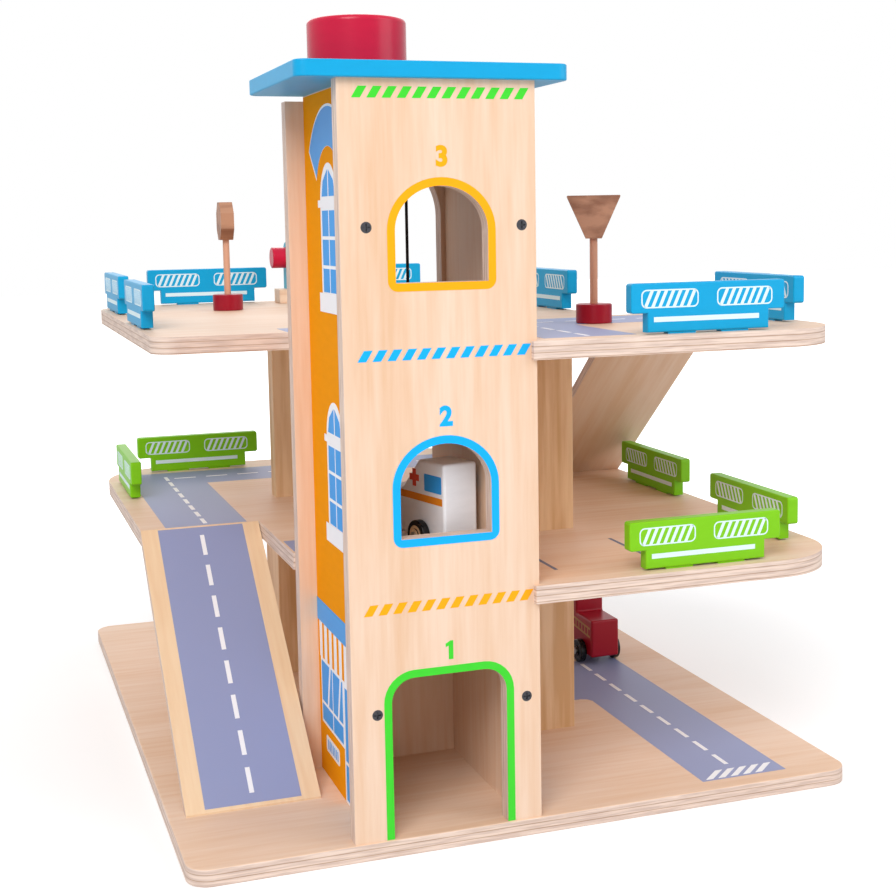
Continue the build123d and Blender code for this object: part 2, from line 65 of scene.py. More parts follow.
TOWER_CORNER = Vector((-0.102, -0.229, 0.009))
SECOND_FLOOR = 123.5
THIRD_FLOOR = 248.0
SIDE_PANEL_LEFT = 10.0
SIDE_PANEL_RIGHT = 95.5
PANEL_FRONT, PANEL_BACK, PANEL_TOP = 9.2, 109.3, 375.0
DECK_LEFT, DECK_RIGHT = -74.0, 284.0
RAMP_WIDTH = 72.5                          # the lower ramp; the upper one is 2 mm narrower
RAMP_ROAD = 52.0
RAMP_FOOT_RISE = 1.0
LOWER_RAMP_TILT, UPPER_RAMP_TILT = 0.6863, -0.6904
VENEER = 1.55
TOWER_MID = 51.0                           # middle line of the windows and the door
NUMBER_MID, NUMBER_HEIGHT = 51.5, 9.6
DIGIT_SHARE, DIGIT_WEIGHT = 0.73, 0.0006   # digit height per font size; thickening in metres
AMBULANCE_AT, AMBULANCE_TURN = (55.5, 17.8, 138.0), 14.7
TRUCK_AT = (229.0, 222.0, 0.0)
CAR_WIDTH, WHEEL_LOW, WHEEL_RADIUS = 20.5, 0.2, 8.0
WHEEL_FLAT, WHEEL_HUB = 4.8, 5.4           # outward from the body side
AMBULANCE_AXLES = {"rear": 20.5, "front": 53.0}
HUB_FILM = 0.00008
RAILING_PRINT_DROP = 0.0265                # from a railing's top to the zero of its print
CORD_SIDES = 16
MM = 1000                                  # millimetres in a metre


def place(x, y, z):
    """Millimetres from the tower's corner to metres in the frame."""
    return TOWER_CORNER + Vector((x, y, z)) / MM


def linear_rgb(hex_colour):
    """An sRGB hex colour as linear red, green and blue."""
    values = [int(hex_colour[i:i + 2], 16) / 255 for i in (1, 3, 5)]
    return tuple(v / 12.92 if v <= 0.04045 else ((v + 0.055) / 1.055) ** 2.4 for v in values)


# ---- Settings ---------------------------------------------------------------------------------
class GaragePrintSizes(bpy.types.PropertyGroup):
    """Sizes of the screen prints."""
    ink_film: bpy.props.FloatProperty(
        name="Ink film", description="Thickness of a printed layer", default=0.00009,
        min=0.00002, unit="LENGTH")
    dash_length: bpy.props.FloatProperty(
        name="Dash length", description="Length of a road dash", default=0.0155, unit="LENGTH")
    dash_gap: bpy.props.FloatProperty(
        name="Dash gap", description="Gap between road dashes", default=0.0077, unit="LENGTH")
    dash_width: bpy.props.FloatProperty(
        name="Dash width", description="Width of a road dash", default=0.0026, unit="LENGTH")
    outline_width: bpy.props.FloatProperty(
        name="Outline width", description="Printed line round a window or door",
        default=0.0040, unit="LENGTH")
    stripe_count: bpy.props.IntProperty(
        name="Floor stripes", description="Slanted stripes across the tower at each floor",
        default=12, min=2)


class GarageColours(bpy.types.PropertyGroup):
    """Paint and ink colours."""
    roof: bpy.props.FloatVectorProperty(
        name="Roof and upper railings", description="Sky blue paint", subtype="COLOR",
        default=linear_rgb("#00a4da"))
    railing: bpy.props.FloatVectorProperty(
        name="Middle railings", description="Leaf green paint", subtype="COLOR",
        default=linear_rgb("#80cc0c"))
    side: bpy.props.FloatVectorProperty(
        name="Tower side", description="Warm orange paint", subtype="COLOR",
        default=linear_rgb("#f59a00"))
    knob: bpy.props.FloatVectorProperty(
        name="Knob", description="Deep red paint", subtype="COLOR",
        default=linear_rgb("#cc0d3a"))
    road: bpy.props.FloatVectorProperty(
        name="Road", description="Blue grey ink", subtype="COLOR",
        default=linear_rgb("#949cc2"))


def sizes():
    return bpy.context.scene.garage_print_sizes


def colours():
    return bpy.context.scene.garage_colours


# ---- Materials --------------------------------------------------------------------------------
def add_node(tree, kind, settings=None, **links):
    """Adds a node; a link value is either an output socket or the input's value."""
    node = tree.nodes.new(kind)
    for key, value in (settings or {}).items():
        setattr(node, key, value)
    for key, value in links.items():
        socket = node.inputs[int(key[1:])] if key[0] == "i" and key[1:].isdigit() else \
            node.inputs[key.replace("_", " ")]
        if isinstance(value, bpy.types.NodeSocket):
            tree.links.new(value, socket)
        else:
            socket.default_value = value
    return node


def new_material(name, roughness, gloss=0.5):
    """An empty material with one principled shader, and its tree."""
    made = bpy.data.materials.new(name)
    made.use_nodes = True
    shader = made.node_tree.nodes["Principled BSDF"]
    shader.inputs["Roughness"].default_value = roughness
    shader.inputs["Specular IOR Level"].default_value = gloss
    return made, made.node_tree, shader


def tilted(tree, vector, tilt):
    """A vector turned about X, so that a sloping board has its grain along the slope."""
    return add_node(tree, "ShaderNodeVectorRotate", {"rotation_type": "X_AXIS"}, Vector=vector,
                    Angle=-tilt).outputs[0]


def stretched_noise(tree, scale, stretch, detail=4.0, rough=0.55, tilt=0.0):
    """Noise on the row frame, stretched along one axis by a mapping."""
    where = tilted(tree, add_node(tree, "ShaderNodeTexCoord").outputs["Object"], tilt)
    mapped = add_node(tree, "ShaderNodeMapping", Vector=where, Scale=stretch).outputs[0]
    return add_node(tree, "ShaderNodeTexNoise", Vector=mapped, Scale=scale, Detail=detail,
                    Roughness=rough).outputs[0]


def bump_into(tree, shader, height, metres, strength=1.0):
    """A bump of a real depth in metres into the shader."""
    bump = add_node(tree, "ShaderNodeBump", Height=height, Distance=metres, Strength=strength)
    tree.links.new(bump.outputs[0], shader.inputs["Normal"])


def weighted(tree, *terms):
    """The sum of outputs, each times its weight."""
    total = 0.0
    for output, weight in terms:
        total = add_node(tree, "ShaderNodeMath", {"operation": "MULTIPLY_ADD"}, i0=output,
                         i1=weight, i2=total).outputs[0]
    return total


def two_tone(tree, factor, low_at, low, high_at, high):
    """A ramp from one linear colour to another between two values of the factor."""
    ramp = add_node(tree, "ShaderNodeValToRGB", Fac=factor)
    ends = ramp.color_ramp.elements
    ends[0].position, ends[0].color = low_at, (*low, 1)
    ends[1].position, ends[1].color = high_at, (*high, 1)
    return ramp.outputs[0]


GRAIN_STRETCH = {"X": (0.06, 1.0, 1.0), "Y": (1.0, 0.06, 1.0), "Z": (1.0, 1.0, 0.06)}


def ply(name, across, grain, layer_mm, pale="#eccfb8", deep="#e2ba98", edge="#e8d2c4",
        glue="#c4a48c", tilt=0.0):
    """Rotary cut poplar ply, clear lacquered: long faint streaks on the faces, and on the
    sawn edges the thin glue lines between the veneers."""
    made, tree, shader = new_material(name, 0.5, 0.3)
    streak = stretched_noise(tree, 260.0, GRAIN_STRETCH[grain], tilt=tilt)
    cloud = stretched_noise(tree, 22.0, GRAIN_STRETCH[grain], 2.0, tilt=tilt)
    face = two_tone(tree, weighted(tree, (streak, 0.55), (cloud, 0.55)),
                    0.36, linear_rgb(deep), 0.66, linear_rgb(pale))
    where = tilted(tree, add_node(tree, "ShaderNodeTexCoord").outputs["Object"], tilt)
    split = add_node(tree, "ShaderNodeSeparateXYZ", Vector=where)
    phase = add_node(tree, "ShaderNodeMath", {"operation": "MULTIPLY"},
                     i0=split.outputs[across], i1=MM / layer_mm).outputs[0]
    wave = add_node(tree, "ShaderNodeMath", {"operation": "PINGPONG"}, i0=phase,
                    i1=1.0).outputs[0]
    layers = two_tone(tree, wave, 0.08, linear_rgb(glue), 0.22, linear_rgb(edge))
    fibre = [0.05, 0.05, 0.05]
    fibre["XYZ".index(across)] = 1.0
    fibres = stretched_noise(tree, 900.0, fibre, 3.0, tilt=tilt)
    shade = two_tone(tree, fibres, 0.38, (0.62, 0.56, 0.55), 0.62, (1, 1, 1))
    edge_noise = add_node(tree, "ShaderNodeMix", {"data_type": "RGBA", "blend_type": "MULTIPLY"},
                          Factor=0.6)
    tree.links.new(layers, edge_noise.inputs["A"])
    tree.links.new(shade, edge_noise.inputs["B"])
    normal = tilted(tree, add_node(tree, "ShaderNodeNewGeometry").outputs["True Normal"], tilt)
    turned = add_node(tree, "ShaderNodeSeparateXYZ", Vector=normal).outputs[across]
    facing = add_node(tree, "ShaderNodeMath", {"operation": "ABSOLUTE"}, i0=turned).outputs[0]
    is_face = add_node(tree, "ShaderNodeMath", {"operation": "GREATER_THAN"}, i0=facing,
                       i1=0.6).outputs[0]
    colour = add_node(tree, "ShaderNodeMix", {"data_type": "RGBA"}, Factor=is_face)
    tree.links.new(edge_noise.outputs["Result"], colour.inputs["A"])
    tree.links.new(face, colour.inputs["B"])
    tree.links.new(colour.outputs["Result"], shader.inputs["Base Color"])
    bump_into(tree, shader, streak, 0.00006)
    return made


def solid_wood(name, grain, pale, deep, roughness=0.5):
    """Sanded solid wood: year rings seen as bands along the grain."""
    made, tree, shader = new_material(name, roughness)
    fine = stretched_noise(tree, 420.0, GRAIN_STRETCH[grain])
    band = stretched_noise(tree, 120.0, GRAIN_STRETCH[grain], 1.0)
    rings = two_tone(tree, weighted(tree, (fine, 0.3), (band, 0.75)),
                     0.40, linear_rgb(deep), 0.60, linear_rgb(pale))
    tree.links.new(rings, shader.inputs["Base Color"])
    bump_into(tree, shader, fine, 0.00005)
    return made


def paint(name, colour, roughness=0.36, grain=0.00005, gloss=0.28):
    """Satin lacquer sprayed on sanded wood: even colour, the grain just shows in the gloss."""
    made, tree, shader = new_material(name, roughness, gloss)
    pores = stretched_noise(tree, 300.0, (0.3, 0.3, 1.0), 3.0)
    tint = add_node(tree, "ShaderNodeMix", {"data_type": "RGBA", "blend_type": "MULTIPLY"},
                    Factor=0.10)
    tint.inputs["A"].default_value = (*colour, 1)
    tree.links.new(pores, tint.inputs["B"])
    tree.links.new(tint.outputs["Result"], shader.inputs["Base Color"])
    bump_into(tree, shader, pores, grain)
    return made


def ink(name, colour, roughness=0.45):
    """Screen print ink: flat opaque colour, a little duller than the lacquer under it."""
    made, tree, shader = new_material(name, roughness, 0.25)
    shader.inputs["Base Color"].default_value = (*colour, 1)
    mesh_mark = stretched_noise(tree, 900.0, (1.0, 1.0, 1.0), 2.0)
    bump_into(tree, shader, mesh_mark, 0.00001)
    return made


def metal(name, colour, roughness):
    """Drawn steel wire or a blackened screw: plain metal, fine lengthwise marks."""
    made, tree, shader = new_material(name, roughness)
    shader.inputs["Base Color"].default_value = (*colour, 1)
    shader.inputs["Metallic"].default_value = 1.0
    bump_into(tree, shader, stretched_noise(tree, 1500.0, (1.0, 1.0, 0.2), 2.0), 0.00001)
    return made


def braid(name, colour):
    """Braided cord: crossing strands seen as a fine diagonal weave."""
    made, tree, shader = new_material(name, 0.8)
    where = add_node(tree, "ShaderNodeTexCoord").outputs["Object"]
    weave = add_node(tree, "ShaderNodeTexWave", {"bands_direction": "DIAGONAL"}, Vector=where,
                     Scale=420.0, Distortion=1.0)
    shader.inputs["Base Color"].default_value = (*colour, 1)
    bump_into(tree, shader, weave.outputs["Fac"], 0.0002)
    return made


MATERIALS = {}


def material(name):
    """The finish of that name, made on first use."""
    if name not in MATERIALS:
        MATERIALS[name] = FINISHES[name]()
    return MATERIALS[name]


FINISHES = {
    "flat ply": lambda: ply("Lacquered poplar ply, flat boards", "Z", "X", VENEER),
    "lower ramp ply": lambda: ply("Lacquered poplar ply, lower ramp", "Z", "Y", VENEER,
                                  "#f2d4b0", "#e8c096", tilt=LOWER_RAMP_TILT),
    "upper ramp ply": lambda: ply("Lacquered poplar ply, upper ramp", "Z", "Y", VENEER,
                                  tilt=UPPER_RAMP_TILT),
    "front ply": lambda: ply("Lacquered poplar ply, front panel", "Y", "Z", VENEER),
    "side ply": lambda: ply("Lacquered poplar ply, side panel", "X", "Z", 1.5),
    "pine upright": lambda: solid_wood("Sanded pine, upright", "Z", "#efcba2", "#d8aa78"),
    "pine flat": lambda: solid_wood("Sanded pine, lying", "X", "#f0d3b8", "#dcb594"),
    "beech board": lambda: solid_wood("Oiled beech sign board", "X", "#b98668", "#8f5f45"),
    "beech stick": lambda: solid_wood("Oiled beech dowel", "Z", "#d9a285", "#b77f62"),
    "blue paint": lambda: paint("Sky blue satin lacquer", colours().roof),
    "green paint": lambda: paint("Leaf green satin lacquer", colours().railing),
    "orange paint": lambda: paint("Warm orange matt lacquer", colours().side, 0.7, gloss=0.06),
    "red paint": lambda: paint("Deep red gloss lacquer", colours().knob, 0.25),
    "dark red paint": lambda: paint("Dark red satin lacquer", linear_rgb("#a00d26"), 0.3),
    "white paint": lambda: paint("White satin lacquer", linear_rgb("#f6f7fc")),
    "turquoise paint": lambda: paint("Turquoise satin lacquer", linear_rgb("#19b4d2")),
    "black paint": lambda: paint("Black gloss lacquer", linear_rgb("#1b1b1d"), 0.22),
    "hub wood": lambda: solid_wood("Sanded birch hub", "Z", "#e8c9a0", "#cfa473"),
    "road ink": lambda: ink("Blue grey road ink", colours().road),
    "white ink": lambda: ink("White ink", linear_rgb("#f4f4f8")),
    "railing ink": lambda: ink("Pale railing ink", linear_rgb("#dcf0f6")),
    "sky ink": lambda: ink("Sky blue ink", linear_rgb("#00aeff")),
    "banner ink": lambda: ink("Mid blue ink", linear_rgb("#4aa0e6")),
    "pane ink": lambda: ink("Window blue ink", linear_rgb("#2f9cea")),
    "grass ink": lambda: ink("Grass green ink", linear_rgb("#3fd330")),
    "amber ink": lambda: ink("Amber ink", linear_rgb("#ffab00")),
    "orange ink": lambda: ink("Orange ink", linear_rgb("#e98a1c")),
    "bay ink": lambda: ink("Slate bay line ink", linear_rgb("#6f7690")),
    "ladder ink": lambda: ink("Ladder brown ink", linear_rgb("#b58a5a")),
    "emblem ink": lambda: ink("Coral red ink", linear_rgb("#e0503a")),
    "plated steel": lambda: metal("Nickel plated steel wire", linear_rgb("#c9c9c6"), 0.28),
    "black screw": lambda: metal("Blackened screw steel", linear_rgb("#55555a"), 0.4),
    "cord": lambda: braid("Black braided cord", linear_rgb("#1d1c1e")),
}


def dress(node, finish):
    """Gives a CAD node one finish."""
    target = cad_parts[node]
    target.data.materials.clear()
    target.data.materials.append(material(finish))


# ---- Print layers -----------------------------------------------------------------------------
# A face of a board is given by two axes and a fixed coordinate: points are (u, v) on it.
class Face:
    """A flat face in millimetres: origin, u and v axes and the outward normal."""

    def __init__(self, origin, u, v, out):
        self.origin, self.u, self.v, self.out = Vector(origin), Vector(u), Vector(v), Vector(out)

    def matrix(self):
        basis = Matrix((self.u, self.v, self.out)).transposed().to_4x4()
        basis.translation = place(*self.origin)
        return basis


def level(z):
    """The top of a board at height z; u is x and v is y."""
    return Face((0, 0, z), (1, 0, 0), (0, 1, 0), (0, 0, 1))


FRONT = Face((0, 0, 0), (1, 0, 0), (0, 0, 1), (0, -1, 0))
LEFT_SIDE = Face((SIDE_PANEL_LEFT, 0, 0), (0, 1, 0), (0, 0, 1), (-1, 0, 0))
RIGHT_SIDE = Face((SIDE_PANEL_RIGHT, 0, 0), (0, 1, 0), (0, 0, 1), (1, 0, 0))


def linked(name, data):
    """A new object of that data in the scene."""
    made = bpy.data.objects.new(name, data)
    bpy.context.scene.collection.objects.link(made)
    return made


def mesh_from(holder):
    """The finished mesh of a curve or of an object with modifiers, which is then removed."""
    bpy.context.view_layer.update()
    mesh = bpy.data.meshes.new_from_object(
        holder.evaluated_get(bpy.context.evaluated_depsgraph_get()))
    bpy.data.objects.remove(holder)
    return mesh


def laid(mesh, basis):
    """A mesh in its place; its normals stay outward where the basis mirrors it."""
    mesh.transform(basis)
    if basis.determinant() < 0:
        mesh.flip_normals()
    return mesh


def ink_mesh(name, loops, face, lift=0.0, film=None):
    """Closed loops of (u, v) in mm as one thin layer on a face; a loop in a loop is a hole."""
    film = film or sizes().ink_film
    curve = bpy.data.curves.new(name, "CURVE")
    curve.dimensions, curve.fill_mode, curve.extrude = "2D", "BOTH", film / 2
    for loop in loops:
        spline = curve.splines.new("POLY")
        spline.points.add(len(loop) - 1)
        for point, (u, v) in zip(spline.points, loop):
            point.co = (u / MM, v / MM, 0, 1)
        spline.use_cyclic_u = True
    mesh = laid(mesh_from(linked(name, curve)),
                face.matrix() @ Matrix.Translation((0, 0, film / 2 + lift)))
    mesh.name = name
    return mesh


def finished(name, mesh, body, finish):
    """Links a finished mesh as a piece that rides on a body."""
    piece = linked(name.replace(" ", "_").lower(), mesh)
    mesh.materials.clear()
    mesh.materials.append(material(finish))
    for polygon in mesh.polygons:
        polygon.material_index = 0
    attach(piece, body)
    return piece


def print_on(name, face, loops, finish, body="garage"):
    """One colour of print on a face."""
    return finished(name, ink_mesh(name, loops, face), body, finish)


def box_loop(u0, u1, v0, v1):
    return [(u0, v0), (u1, v0), (u1, v1), (u0, v1)]


def round_loop(u0, u1, v0, v1, radius, steps=6, corners=(1, 1, 1, 1)):
    """A rectangle with round corners, from the lower left one round; 0 keeps one sharp."""
    centres = [(u0 + radius, v0 + radius, pi), (u1 - radius, v0 + radius, 1.5 * pi),
               (u1 - radius, v1 - radius, 0), (u0 + radius, v1 - radius, 0.5 * pi)]
    sharp = [(u0, v0), (u1, v0), (u1, v1), (u0, v1)]
    loop = []
    for (cu, cv, start), plain, on in zip(centres, sharp, corners):
        if not on:
            loop.append(plain)
            continue
        for i in range(steps + 1):
            turn = start + 0.5 * pi * i / steps
            loop.append((cu + radius * cos(turn), cv + radius * sin(turn)))
    return loop


def arch_loop(mid, sill, width, side_height, rise, foot=0.0, steps=28):
    """Straight sill and sides with an elliptic top; foot rounds the lower corners."""
    half = width / 2
    loop = []
    for cu, start in ((mid - half + foot, pi), (mid + half - foot, 1.5 * pi)):
        for i in range(7 if foot else 1):
            turn = start + 0.5 * pi * i / 6
            loop.append((cu + foot * cos(turn), sill + foot + foot * sin(turn)))
    for i in range(steps + 1):
        turn = pi * i / steps
        loop.append((mid + half * cos(turn), sill + side_height + rise * sin(turn)))
    return loop


# ---- Repeats by geometry nodes ----------------------------------------------------------------
def repeat_tree():
    """A geometry node group: count boxes in a row, sheared, realised, one material."""
    tree = bpy.data.node_groups.new("Printed dashes in a row", "GeometryNodeTree")
    sockets = {}
    for name, kind in (("Count", "NodeSocketInt"), ("Start", "NodeSocketVector"),
                       ("Step", "NodeSocketVector"), ("Size", "NodeSocketVector"),
                       ("Shear", "NodeSocketVector"), ("Turn", "NodeSocketVector"),
                       ("Finish", "NodeSocketMaterial")):
        sockets[name] = tree.interface.new_socket(name, in_out="INPUT", socket_type=kind)
    tree.interface.new_socket("Geometry", in_out="OUTPUT", socket_type="NodeSocketGeometry")
    given = add_node(tree, "NodeGroupInput")
    line = add_node(tree, "GeometryNodeMeshLine", Count=given.outputs["Count"],
                    Start_Location=given.outputs["Start"], Offset=given.outputs["Step"])
    cube = add_node(tree, "GeometryNodeMeshCube", Size=given.outputs["Size"])
    spot = add_node(tree, "GeometryNodeInputPosition")
    split = add_node(tree, "ShaderNodeSeparateXYZ", Vector=spot.outputs[0])
    slant = add_node(tree, "ShaderNodeVectorMath", {"operation": "SCALE"},
                     i0=given.outputs["Shear"])
    tree.links.new(split.outputs["Y"], slant.inputs["Scale"])
    sheared = add_node(tree, "GeometryNodeSetPosition", Geometry=cube.outputs["Mesh"],
                       Offset=slant.outputs[0])
    copies = add_node(tree, "GeometryNodeInstanceOnPoints", Points=line.outputs[0],
                      Instance=sheared.outputs[0], Rotation=given.outputs["Turn"])
    real = add_node(tree, "GeometryNodeRealizeInstances", Geometry=copies.outputs[0])
    coloured = add_node(tree, "GeometryNodeSetMaterial", Geometry=real.outputs[0],
                        Material=given.outputs["Finish"])
    add_node(tree, "NodeGroupOutput", Geometry=coloured.outputs[0])
    return tree, {name: socket.identifier for name, socket in sockets.items()}


REPEAT = {}


def dash_mesh(name, face, count, start, step, size, finish, shear=0.0, turn=0.0, lift=0.0):
    """Boxes in a row on a face, sizes and places in mm of its u and v."""
    if "tree" not in REPEAT:
        REPEAT["tree"], REPEAT["inputs"] = repeat_tree()
    film = sizes().ink_film
    holder = linked(name, bpy.data.meshes.new(name))
    modifier = holder.modifiers.new("Row", "NODES")
    modifier.node_group = REPEAT["tree"]
    values = {
        "Count": count,
        "Start": (start[0] / MM, start[1] / MM, film / 2 + lift),
        "Step": (step[0] / MM, step[1] / MM, 0.0),
        "Size": (size[0] / MM, size[1] / MM, film),
        "Shear": (shear, 0.0, 0.0),
        "Turn": (0.0, 0.0, turn),
        "Finish": material(finish),
    }
    for key, value in values.items():
        modifier[REPEAT["inputs"][key]] = value
    return laid(mesh_from(holder), face.matrix())


def joined(name, meshes, body, finish):
    """Several meshes of one finish as one piece."""
    parts = [linked(name, mesh) for mesh in meshes]
    if len(parts) > 1:
        with bpy.context.temp_override(active_object=parts[0], selected_editable_objects=parts):
            bpy.ops.object.join()
    mesh = parts[0].data
    bpy.data.objects.remove(parts[0])
    return finished(name, mesh, body, finish)


def road_dashes(face, start, end):
    """The dashed middle line of a road from start to end, (u, v) in mm."""
    length, gap = sizes().dash_length * MM, sizes().dash_gap * MM
    reach = Vector((end[0] - start[0], end[1] - start[1]))
    unit = reach.normalized()
    count = max(1, round((reach.length + gap) / (length + gap)))
    step = unit * (length + gap)
    first = Vector(start) + unit * length / 2
    return dash_mesh("Dashes", face, count, first, step, (length, sizes().dash_width * MM),
                     "white ink", turn=atan2(unit.y, unit.x), lift=sizes().ink_film)


# ---- Operators --------------------------------------------------------------------------------
class GARAGE_OT_boards(bpy.types.Operator):
    """Wood, paint and metal on the CAD boards and fittings"""
    bl_idname = "garage.boards"
    bl_label = "Boards and fittings"

    def execute(self, context):
        plan = {
            "flat ply": ["base_board", "second_floor_deck", "third_floor_deck", "lift_floor",
                         "lift_top"],
            "lower ramp ply": ["lower_ramp"],
            "upper ramp ply": ["upper_ramp"],
            "front ply": ["front_panel", "back_board"],
            "side ply": ["left_side_panel", "right_side_panel", "lift_left_wall",
                         "lift_right_wall"],
            "pine upright": ["right_lower_post", "right_upper_post", "left_lower_post",
                             "left_upper_post", "knob_spindle", "winding_spool"],
            "pine flat": ["signal_base"],
            "beech board": ["warning_sign_board", "stop_sign_board"],
            "beech stick": ["warning_sign_post", "stop_sign_post"],
            "dark red paint": ["warning_sign_base", "stop_sign_base", "truck_body"],
            "blue paint": ["roof_board"] + [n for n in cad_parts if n.startswith("blue_")],
            "green paint": [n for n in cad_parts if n.startswith("green_")],
            "red paint": ["roof_knob", "signal_lamp"],
            "white paint": ["ambulance_body"],
            "turquoise paint": ["signal_plate"],
            "black paint": [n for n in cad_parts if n.endswith("_wheels")],
            "plated steel": ["lift_eyelet", "guide_eyelet"] +
                            [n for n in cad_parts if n.endswith("_axle")],
            "black screw": ["front_screws", "back_screws"],
            "cord": ["lift_cord", "winding_cord", "lift_knot"],
        }
        dressed = set()
        for finish, nodes in plan.items():
            for node in nodes:
                dress(node, finish)
                dressed.add(node)
        missed = set(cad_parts) - dressed
        if missed:
            raise RuntimeError("no finish for " + ", ".join(sorted(missed)))
        return {"FINISHED"}


def slope(left, foot, top, u):
    """The top face of a ramp: foot and top are (y, z), u runs across and v up the slope."""
    run, rise = top[0] - foot[0], top[1] - foot[1]
    length = sqrt(run ** 2 + rise ** 2)
    v = Vector((0, run / length, rise / length))
    return Face((left, foot[0], foot[1]), u, v, Vector(u).cross(v)), length


def hatched_end(name, face, u0, u1, v0, v1, bars, slant=1.1):
    """White slanted bars across a piece of road, where it ends."""
    height = v1 - v0
    pitch = (u1 - u0 - slant * height) / bars
    mesh = dash_mesh(name, face, bars, (u0 + (slant * height + pitch) / 2, (v0 + v1) / 2),
                     (pitch, 0), (0.58 * pitch, height), "white ink", shear=slant,
                     lift=sizes().ink_film)
    finished(name, mesh, "garage", "white ink")


class GARAGE_OT_roads(bpy.types.Operator):
    """Road prints on the base, the two floors and the ramps"""
    bl_idname = "garage.roads"
    bl_label = "Road prints"

    def execute(self, context):
        ground, second, third = level(0), level(SECOND_FLOOR), level(THIRD_FLOOR)
        print_on("Ground road", ground, [
            [(200, 10.4), (252, 10.4), (252, 452), (200, 452), (200, 214.6), (60, 214.6),
             (60, 162.6), (194, 162.6), (198, 160.8), (200, 157)]], "road ink")
        hatched_end("Ground road end", ground, 201, 251, 12.0, 22.4, 5)
        joined("Ground road marks", [
            road_dashes(ground, (225, 29), (225, 447)),
            road_dashes(ground, (195, 188), (66, 188))], "garage", "white ink")
        print_on("Second floor road", second, [
            [(-58.7, 216.5), (-8.4, 216.5), (-8.4, 365), (205, 365), (205, 417),
             (-50.7, 417), (-58.7, 409)]], "road ink")
        joined("Second floor road marks", [
            road_dashes(second, (-33.5, 221), (-33.5, 391)),
            road_dashes(second, (-28, 391), (200, 391))], "garage", "white ink")
        for name, face in (("Second", second), ("Third", third)):
            print_on(name + " floor landing", face, [box_loop(0.5, 97, 123, 151)], "road ink")
            hatched_end(name + " floor landing bars", face, 3, 94.5, 126, 148, 7, 0.7)
        print_on("Second floor bays", second, [
            box_loop(u, u + 2.0, 25, 83) for u in (119, 177)], "bay ink")
        print_on("Third floor road", third, [
            [(108, 10), (160, 10), (160, 90), (262, 90), (262, 142), (108, 142)]],
            "road ink")
        joined("Third floor road marks", [
            road_dashes(third, (134, 14), (134, 110)),
            road_dashes(third, (142, 116), (258, 116))], "garage", "white ink")
        for name, left, foot, top, u in (
                ("Lower ramp", DECK_LEFT, (65.5, RAMP_FOOT_RISE), (215.0, SECOND_FLOOR),
                 (1, 0, 0)),
                ("Upper ramp", DECK_RIGHT, (303.5, SECOND_FLOOR + RAMP_FOOT_RISE),
                 (154.0, THIRD_FLOOR), (-1, 0, 0))):
            face, length = slope(left, foot, top, u)
            mid, half = RAMP_WIDTH / 2, RAMP_ROAD / 2
            print_on(name + " road", face, [box_loop(mid - half, mid + half, 2, length - 1)],
                     "road ink")
            joined(name + " marks", [road_dashes(face, (mid, 8), (mid, length - 6))], "garage",
                   "white ink")
        return {"FINISHED"}


class GARAGE_OT_tower_front(bpy.types.Operator):
    """Stripes, window outlines and floor numbers on the tower front"""
    bl_idname = "garage.tower_front"
    bl_label = "Tower front prints"

    def execute(self, context):
        wide = sizes().outline_width * MM
        count, pitch = sizes().stripe_count, 7.45
        for name, z, finish in (("Stripes over the third window", 369.0, "grass ink"),
                                ("Stripes at the third floor", 244.0, "sky ink"),
                                ("Stripes at the second floor", 118.7, "amber ink")):
            mesh = dash_mesh(name, FRONT, count, (11.0, z), (pitch, 0), (4.3, 5.4), finish,
                             shear=0.62)
            finished(name, mesh, "garage", finish)
        for name, sill, finish in (("Second window outline", 152.8, "sky ink"),
                                   ("Third window outline", 278.5, "amber ink")):
            outer = arch_loop(TOWER_MID, sill - wide, 47.5 + 2 * wide, 25 + wide, 21.5 + wide, 5.0)
            inner = arch_loop(TOWER_MID, sill, 47.5, 25, 21.5)
            print_on(name, FRONT, [outer, inner], finish)
        left, right, top = TOWER_MID - 30.5, TOWER_MID + 30.5, 82.5
        outer = round_loop(left - wide, right + wide, 0.2, top + wide, 12 + wide, 8, (0, 0, 1, 1))
        inner = round_loop(left, right, 0.2, top, 12, 8, (0, 0, 1, 1))
        print_on("Door outline", FRONT, [door_band(outer, inner)], "grass ink")
        for text, z, finish in (("3", 334.6, "amber ink"), ("2", 208.4, "sky ink")):
            finished("Floor number " + text, number_mesh(text, z), "garage", finish)
        stem = [(-2.4, 6.4), (-2.4, 8.2), (0.1, 9.6), (1.6, 9.6), (1.6, 0), (-0.8, 0), (-0.8, 7.1)]
        print_on("Floor number 1", FRONT, [[(NUMBER_MID + u, 89.8 + v) for u, v in stem]],
                 "grass ink")
        return {"FINISHED"}


def door_band(outer, inner):
    """The line round a door that is open at the bottom, as one loop."""
    # both loops start at the lower left corner and run round by the lower right one
    ring = outer[1:] + outer[:1]
    back = (inner[1:] + inner[:1])[::-1]
    return ring + back


def number_mesh(text, low):
    """A plain floor number on the tower front."""
    curve = bpy.data.curves.new("Number " + text, "FONT")
    curve.body, curve.align_x = text, "CENTER"
    curve.size = NUMBER_HEIGHT / DIGIT_SHARE / MM
    curve.extrude, curve.offset = sizes().ink_film / 2, DIGIT_WEIGHT
    return laid(mesh_from(linked("Number " + text, curve)),
                FRONT.matrix() @ Matrix.Translation(
                    (NUMBER_MID / MM, low / MM, sizes().ink_film / 2)))


def sector(mid, low, inner, outer, first, last, steps=24):
    """A band between two arcs about (mid, low), its ends cut slanting."""
    outside = [(outer, first + (180 - 2 * first) * i / steps) for i in range(steps + 1)]
    inside = [(inner, 180 - last - (180 - 2 * last) * i / steps) for i in range(steps + 1)]
    return [(mid + r * cos(radians(a)), low + r * sin(radians(a))) for r, a in outside + inside]


